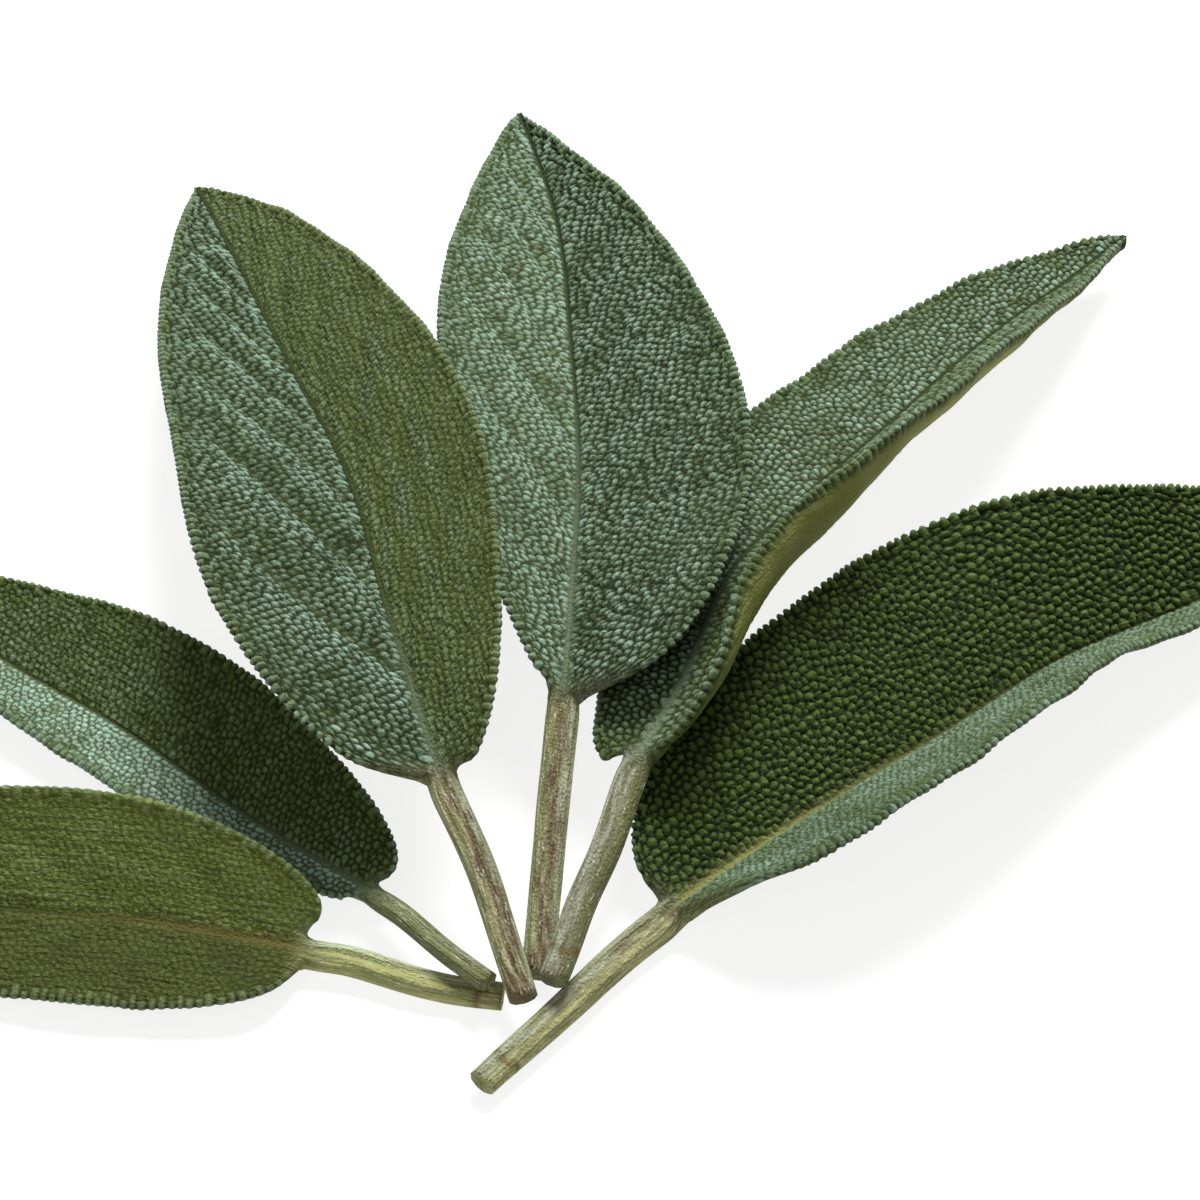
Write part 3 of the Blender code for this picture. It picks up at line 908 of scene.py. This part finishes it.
CURLED_LEAF = {
    "line": [(2.2, 0.3, 4.0), (3.3, 3.6, 4.5), (4.3, 6.8, 5.1), (5.6, 9.9, 5.9),
             (8.1, 17.8, 7.1), (10.9, 23.4, 8.1), (14.9, 35.2, 8.0), (19.3, 42.4, 7.4),
             (27.0, 52.6, 6.4), (35.7, 64.5, 5.0), (43.5, 73.6, 3.8), (47.5, 78.3, 3.4)],
    "foot": 4,
    "stalk_width": (2.1, 2.3),
    "half_width": (9.7, 10.2),
    "outline": ((0.6, 0.71), (0.75, 1.12)),
    "foot_bulge": (3.0, 0.8),
    "rise": ((-18, -16, -7, -8, -2), (5, 6, 0, 33, 24, 24, 24)),
    "edge_rise": ((-18, -16, -7, -8, -2), (66, 127, 115, 73, 75, 58, 55)),
    "pebble_size": ((0.78, 0.54), (0.80, 0.60)),
    "pebble_depth": (0.34, 0.26),
    "fuzz": (0.1, 0.2),
    "edge_bead": 0.74,
    "bead_length": (0.80, 0.80),
    "quilting": (0.3, 0.2),
    "down_and_sheen": (0.62, 0.34),
    "stripes": (0.0, 0.0),
    "down_and_sheen_from": (0.10, 0.0),
    "shaded_green": (0.55, 0.45),
    "rib_shows": (0.8, 0.35),
    "wave_start": 4.0,
    "scar_at": 2.3,
    "browning": (0.3, 0.1),
}
BLUE_GREEN = {
    **SAGE,
    "green": (0.110, 0.150, 0.042, 1.0),
    "shaded_green": (0.070, 0.095, 0.015, 1.0),
    "under": (0.220, 0.240, 0.044, 1.0),
    "under_vein": (0.250, 0.260, 0.072, 1.0),
    "edge": (0.105, 0.155, 0.060, 1.0),
    "cut": (0.260, 0.260, 0.140, 1.0),
    "stalk": (0.400, 0.420, 0.320, 1.0),
    "stalk_right": (0.125, 0.140, 0.045, 1.0),
    "stalk_shade": (0.145, 0.148, 0.070, 1.0),
}
add_leaf("curled_right_leaf", "leaf_right_curled", CURLED_LEAF, BLUE_GREEN, 37)


# ---- The low leaf on the right -------------------------------------------------------
# The widest leaf, lying on the surface with both halves raised like an open book. Its
# stalk is the thickest and reaches past the others, with a scar near its cut end.

LOW_RIGHT_LEAF = {
    "line": [(-2.5, -7.2, 2.2), (-0.6, -4.9, 2.2), (3.5, 0.0, 2.2), (7.0, 4.3, 2.2),
             (10.5, 7.9, 2.3), (17.6, 14.5, 2.1), (25.4, 21.0, 2.0), (32.0, 26.4, 1.9),
             (39.1, 32.4, 1.8), (51.0, 39.4, 1.7), (57.5, 44.4, 1.6), (64.0, 49.2, 1.6)],
    "foot": 4,
    "stalk_width": (2.1, 2.7),
    "half_width": (14.2, 12.3),
    "outline": ((0.58, 0.82), (0.38, 1.15)),
    "foot_bulge": (1.4, -2.4),
    "rise": ((16, 20, 24, 26, 22), (40, 44, 46, 38, 30)),
    "edge_rise": ((16, 20, 24, 26, 22), (40, 44, 46, 38, 30)),
    "pebble_size": ((0.74, 0.62), (0.60, 0.50)),
    "pebble_depth": (0.44, 0.24),
    "fuzz": (0.0, 0.40),
    "edge_bead": 0.67,
    "bead_length": (0.75, 1.60),
    "quilting": (0.1, 0.2),
    "down_and_sheen": (0.0, 0.42),
    "stripes": (0.0, 0.0),
    "down_and_sheen_from": (0.0, 0.0),
    "shaded_green": (0.95, 0.55),
    "rib_shows": (0.8, 0.6),
    "wave_start": 1.1,
    "scar_at": 2.3,
    "browning": (0.1, 0.6),
}
DARK_GREEN = {
    **SAGE,
    "green": (0.060, 0.100, 0.030, 1.0),
    "shaded_green": (0.072, 0.112, 0.014, 1.0),
    "edge": (0.090, 0.130, 0.035, 1.0),
    "shaded_crease": (0.004, 0.010, 0.0005, 1.0),
    "rib": (0.260, 0.260, 0.090, 1.0),
    "stalk": (0.430, 0.475, 0.330, 1.0),
    "stalk_right": (0.460, 0.455, 0.215, 1.0),
}
add_leaf("low_right_leaf", "leaf_right_low", LOW_RIGHT_LEAF, DARK_GREEN, 41)


# ---- The folded leaf on the left -----------------------------------------------------
# A narrow leaf half folded along its midrib. The raised half of the lowest leaf stands in
# front of its near half, and the broad leaf lies over its foot and shades it.

FOLDED_LEAF = {
    "line": [(-2.2, 0.6, 3.4), (-5.6, 3.9, 3.3), (-8.4, 7.0, 3.2), (-10.6, 9.1, 2.8),
             (-17.0, 14.4, 2.2), (-22.8, 19.6, 2.0), (-28.5, 24.9, 1.9), (-36.8, 31.3, 1.8),
             (-44.5, 37.3, 1.8), (-51.5, 42.1, 1.8)],
    "foot": 3,
    "stalk_width": (1.6, 1.7),
    "half_width": (5.0, 8.6),
    "outline": ((0.80, 0.83), (0.67, 0.92)),
    "foot_bulge": (2.0, 2.6),
    "rise": ((-4, 2, 8, 12, 15), (24, 24, 22, 20, 15)),
    "edge_rise": ((-4, 2, 8, 12, 15), (24, 24, 22, 20, 15)),
    "pebble_size": ((0.56, 0.46), (0.62, 0.50)),
    "pebble_depth": (0.14, 0.20),
    "fuzz": (0.6, 0.2),
    "edge_bead": 0.64,
    "bead_length": (0.70, 0.70),
    "quilting": (0.1, 0.15),
    "down_and_sheen": (0.80, 0.12),
    "stripes": (0.0, 0.0),
    "down_and_sheen_from": (0.0, 0.0),
    "shaded_green": (0.55, 0.90),
    "rib_shows": (0.5, 0.4),
    "wave_start": 3.1,
    "scar_at": -5.0,
    "browning": (0.1, 0.0),
}
SILVERY = {
    **SAGE,
    "green": (0.130, 0.190, 0.075, 1.0),
    "shaded_green": (0.066, 0.096, 0.008, 1.0),
    "down": (0.380, 0.550, 0.455, 1.0),
    "shaded_crease": (0.012, 0.022, 0.001, 1.0),
    "stalk": (0.200, 0.220, 0.110, 1.0),
    "stalk_right": (0.330, 0.370, 0.250, 1.0),
    "stalk_shade": (0.130, 0.140, 0.055, 1.0),
}
add_leaf("folded_left_leaf", "leaf_left_folded", FOLDED_LEAF, SILVERY, 53)


# ---- The lowest leaf on the left -----------------------------------------------------
# A small olive leaf with its near half flat on the surface and its far half raised. Its
# stalk is the palest, with a scar and a little brown near its cut end.

LOW_LEFT_LEAF = {
    "line": [(-1.2, 0.8, 1.8), (-5.6, 1.6, 1.9), (-8.4, 2.5, 2.0), (-12.2, 3.9, 2.1),
             (-14.9, 4.3, 2.2), (-21.2, 5.5, 2.4), (-27.3, 6.7, 2.4), (-39.0, 7.9, 2.3),
             (-50.0, 9.0, 2.0), (-61.5, 9.0, 1.5)],
    "foot": 4,
    "stalk_width": (2.1, 2.3),
    "half_width": (7.6, 8.8),
    "outline": ((0.43, 0.95), (0.61, 0.93)),
    "foot_bulge": (0.0, 2.4),
    "rise": ((0, -2, -3, -3, 0), (30, 33, 32, 24, 16)),
    "edge_rise": ((-2, -4, -5, -3, 0), (34, 38, 36, 26, 16)),
    "pebble_size": ((0.60, 0.50), (0.52, 0.50)),
    "pebble_depth": (0.14, 0.12),
    "fuzz": (0.5, 0.8),
    "edge_bead": 0.70,
    "bead_length": (0.80, 0.80),
    "quilting": (0.15, 0.25),
    "down_and_sheen": (0.0, 0.16),
    "stripes": (0.0, 0.08),
    "down_and_sheen_from": (0.0, 0.0),
    "shaded_green": (0.80, 0.0),
    "rib_shows": (0.5, 0.5),
    "wave_start": 5.2,
    "scar_at": 1.6,
    "browning": (0.3, 0.0),
}
OLIVE = {
    **SAGE,
    "green": (0.128, 0.156, 0.020, 1.0),
    "down": (0.250, 0.330, 0.190, 1.0),
    "shaded_green": (0.044, 0.048, 0.006, 1.0),
    "shaded_olive_crease": (0.050, 0.064, 0.008, 1.0),
    "mottle": (0.064, 0.078, 0.012, 1.0),
    "edge": (0.200, 0.270, 0.150, 1.0),
    "rib": (0.200, 0.150, 0.045, 1.0),
    "stalk": (0.440, 0.440, 0.170, 1.0),
    "stalk_right": (0.600, 0.680, 0.450, 1.0),
    "stalk_shade": (0.260, 0.280, 0.120, 1.0),
}
add_leaf("low_left_leaf", "leaf_left_low", LOW_LEFT_LEAF, OLIVE, 67)


# ---- Floor, light and camera ---------------------------------------------------------
# The bunch lies on a plain pale sheet under a wide soft light from behind and above, with
# a weak fill from the front. The camera looks down at it from the stalk side.

FLOOR_SIZE = 6.0


def add_floor():
    bm = bmesh.new()
    bmesh.ops.create_grid(bm, x_segments=1, y_segments=1, size=FLOOR_SIZE / 2)
    mesh = bpy.data.meshes.new("floor")
    bm.to_mesh(mesh)
    bm.free()
    floor = bpy.data.objects.new("floor", mesh)
    bpy.context.scene.collection.objects.link(floor)
    material = bpy.data.materials.new("pale_sheet")
    material.use_nodes = True
    sheet = material.node_tree.nodes["Principled BSDF"]
    sheet.inputs["Base Color"].default_value = (0.24, 0.24, 0.24, 1.0)
    sheet.inputs["Roughness"].default_value = 0.9
    sheet.inputs["Emission Color"].default_value = (1.0, 1.0, 1.0, 1.0)
    sheet.inputs["Emission Strength"].default_value = 0.82
    mesh.materials.append(material)


def add_soft_light(name, place, target, size, power, colour):
    lamp = bpy.data.lights.new(name, "AREA")
    lamp.shape = "DISK"
    lamp.size = size
    lamp.energy = power
    lamp.color = colour
    light = bpy.data.objects.new(name, lamp)
    bpy.context.scene.collection.objects.link(light)
    light.location = place
    toward = Vector(target) - Vector(place)
    light.rotation_mode = "QUATERNION"
    light.rotation_quaternion = toward.to_track_quat("-Z", "Y")


add_floor()
add_soft_light("key", (0.20, 0.80, 1.00), (0, 0, 0), 0.60, 27.0, (0.98, 1.0, 0.97))
add_soft_light("fill", (-0.3, -0.7, 0.9), (0, 0, 0), 0.8, 2.2, (1.0, 0.98, 0.94))

world = bpy.data.worlds.new("studio")
bpy.context.scene.world = world
world.use_nodes = True
sky = world.node_tree.nodes["Background"]
sky.inputs["Color"].default_value = (0.95, 0.98, 1.0, 1.0)
sky.inputs["Strength"].default_value = 0.27

AIM = Vector((0.0041, -0.0037, 0.0))
CAMERA_DISTANCE = 0.366
CAMERA_RISE = math.radians(45)
VIEW_HALF_WIDTH = 0.045

camera_data = bpy.data.cameras.new("camera")
camera_data.sensor_width = 36.0
camera_data.lens = camera_data.sensor_width / 2 * CAMERA_DISTANCE / VIEW_HALF_WIDTH
camera = bpy.data.objects.new("camera", camera_data)
bpy.context.scene.collection.objects.link(camera)
away = Vector((0.0, -math.cos(CAMERA_RISE), math.sin(CAMERA_RISE)))
camera.location = AIM + away * CAMERA_DISTANCE
camera.rotation_mode = "QUATERNION"
camera.rotation_quaternion = (-away).to_track_quat("-Z", "Y")
camera_data.clip_start = 0.01
camera_data.clip_end = 20.0
bpy.context.scene.camera = camera
bpy.context.scene.view_settings.view_transform = "Standard"
